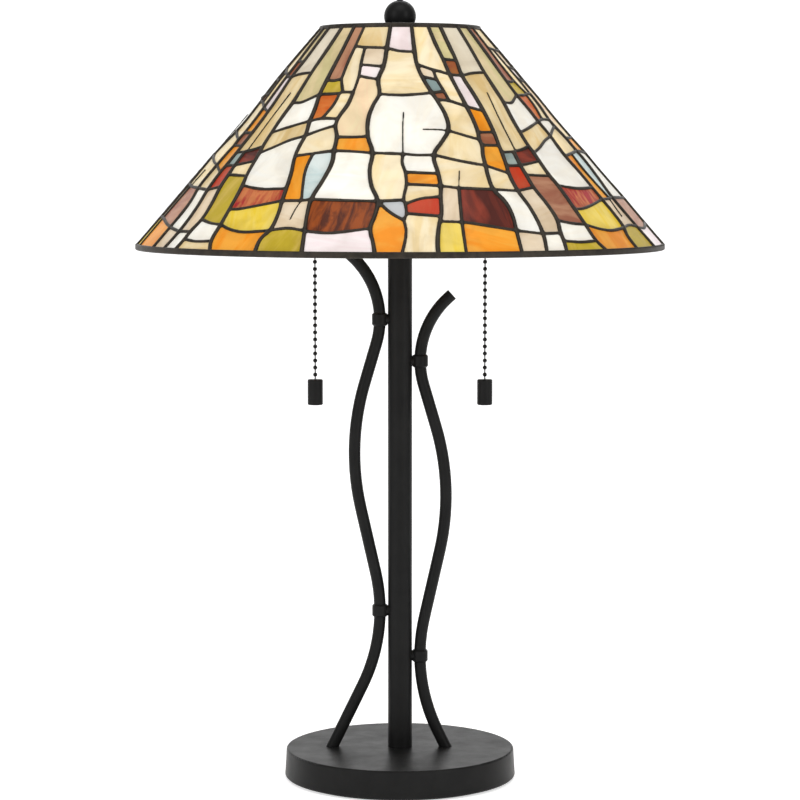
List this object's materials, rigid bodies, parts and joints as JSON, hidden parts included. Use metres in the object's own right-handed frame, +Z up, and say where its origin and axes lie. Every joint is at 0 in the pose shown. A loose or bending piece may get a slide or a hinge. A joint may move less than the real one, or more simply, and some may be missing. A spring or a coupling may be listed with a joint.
{
  "type": "table lamp",
  "caption": "Table lamp: a cone shade of leaded opalescent glass on a slim black column with two S-curved rods, a round flat base, pull chains and a ball finial.",
  "frame": {"origin": "middle of the base's underside, on the surface the lamp stands on", "axes": "+Z up along the column, +X to the lamp's right seen from its front, -Y to the front"},
  "size_m": [0.4064, 0.4064, 0.6034],
  "materials": {
    "black_metal": "matte black powder coat",
    "felt": "dense felt",
    "steel": "zinc plated",
    "brass": "plain turned brass",
    "bronze_came": "dark bronze patina",
    "moulding": "moulded",
    "lead_insulation": "flexible insulation",
    "frosted_glass": "frosted white",
    "glass_white": "opalescent white",
    "glass_pink": "opalescent pale pink",
    "glass_cream": "opalescent cream",
    "glass_beige": "opalescent tan",
    "glass_amber": "streaky amber",
    "glass_yellow": "streaky yellow",
    "glass_red": "streaky red",
    "glass_brown": "dark streaky brown",
    "glass_blue": "opalescent pale blue"
  },
  "bodies": {
    "stand": {"base_disc": "black_metal", "column_tube": "black_metal", "column_cap": "black_metal", "cluster_body": "black_metal", "riser": "black_metal", "shade_seat": "black_metal", "base_pad": "felt", "cord_bushing": "moulding", "base_washer": "steel", "base_nut": "steel", "threaded_pipe": "steel", "collar_screws": "steel", "rod_left": "black_metal", "collar_left_lower": "black_metal", "collar_left_upper": "black_metal", "arm_left": "black_metal", "socket_cap_left": "black_metal", "socket_shell_left": "black_metal", "chain_bell_left": "black_metal", "socket_core_left": "moulding", "screw_shell_left": "brass", "wheel_pin_left": "steel", "lead_left": "lead_insulation", "rod_right": "black_metal", "collar_right_lower": "black_metal", "collar_right_upper": "black_metal", "arm_right": "black_metal", "socket_cap_right": "black_metal", "socket_shell_right": "black_metal", "chain_bell_right": "black_metal", "socket_core_right": "moulding", "screw_shell_right": "brass", "wheel_pin_right": "steel", "lead_right": "lead_insulation"},
    "shade": {"shade_cap": "bronze_came", "top_ring": "bronze_came", "rim_channel": "bronze_came", "glass_white": "glass_white", "glass_pink": "glass_pink", "glass_cream": "glass_cream", "glass_beige": "glass_beige", "glass_amber": "glass_amber", "glass_yellow": "glass_yellow", "glass_red": "glass_red", "glass_brown": "glass_brown", "glass_blue": "glass_blue"},
    "finial": {"finial": "black_metal"},
    "bulb_left": {"bulb_glass_left": "frosted_glass", "bulb_base_left": "brass"},
    "chain_left": {"bead_chain_left": "black_metal", "chain_pull_left": "black_metal"},
    "wheel_left": {"switch_wheel_left": "brass"},
    "bulb_right": {"bulb_glass_right": "frosted_glass", "bulb_base_right": "brass"},
    "chain_right": {"bead_chain_right": "black_metal", "chain_pull_right": "black_metal"},
    "wheel_right": {"switch_wheel_right": "brass"}
  },
  "joints": [
    {"name": "shade_turn", "type": "hinge", "parent": "stand", "child": "shade", "pos_m": [0, 0, 0.5761], "axis": [0, 0, 1], "continuous": true},
    {"name": "finial_turn", "type": "hinge", "parent": "stand", "child": "finial", "pos_m": [0, 0, 0.5901], "axis": [0, 0, 1], "range_deg": [0, 720]},
    {"name": "bulb_left_turn", "type": "hinge", "parent": "stand", "child": "bulb_left", "pos_m": [-0.0435, 0, 0.48], "axis": [0, 0, 1], "range_deg": [0, 720]},
    {"name": "chain_left_pull", "type": "slide", "parent": "stand", "child": "chain_left", "axis": [0, 0, -1], "range_m": [0, 0.012], "stiffness_N_per_m": 300, "springref_m": -0.02},
    {"name": "wheel_left_turn", "type": "hinge", "parent": "stand", "child": "wheel_left", "pos_m": [-0.0435, 0, 0.45536], "axis": [0, -1, 0], "range_deg": [0, 90]},
    {"name": "bulb_right_turn", "type": "hinge", "parent": "stand", "child": "bulb_right", "pos_m": [0.0435, 0, 0.48], "axis": [0, 0, 1], "range_deg": [0, 720]},
    {"name": "chain_right_pull", "type": "slide", "parent": "stand", "child": "chain_right", "axis": [0, 0, -1], "range_m": [0, 0.012], "stiffness_N_per_m": 300, "springref_m": -0.02},
    {"name": "wheel_right_turn", "type": "hinge", "parent": "stand", "child": "wheel_right", "pos_m": [0.0435, 0, 0.45536], "axis": [0, 1, 0], "range_deg": [0, 90]}
  ],
  "couplings": [
    {"joint": "wheel_left_turn", "follows": "chain_left_pull", "rad_per_m": 130.89},
    {"joint": "wheel_right_turn", "follows": "chain_right_pull", "rad_per_m": 130.89}
  ]
}
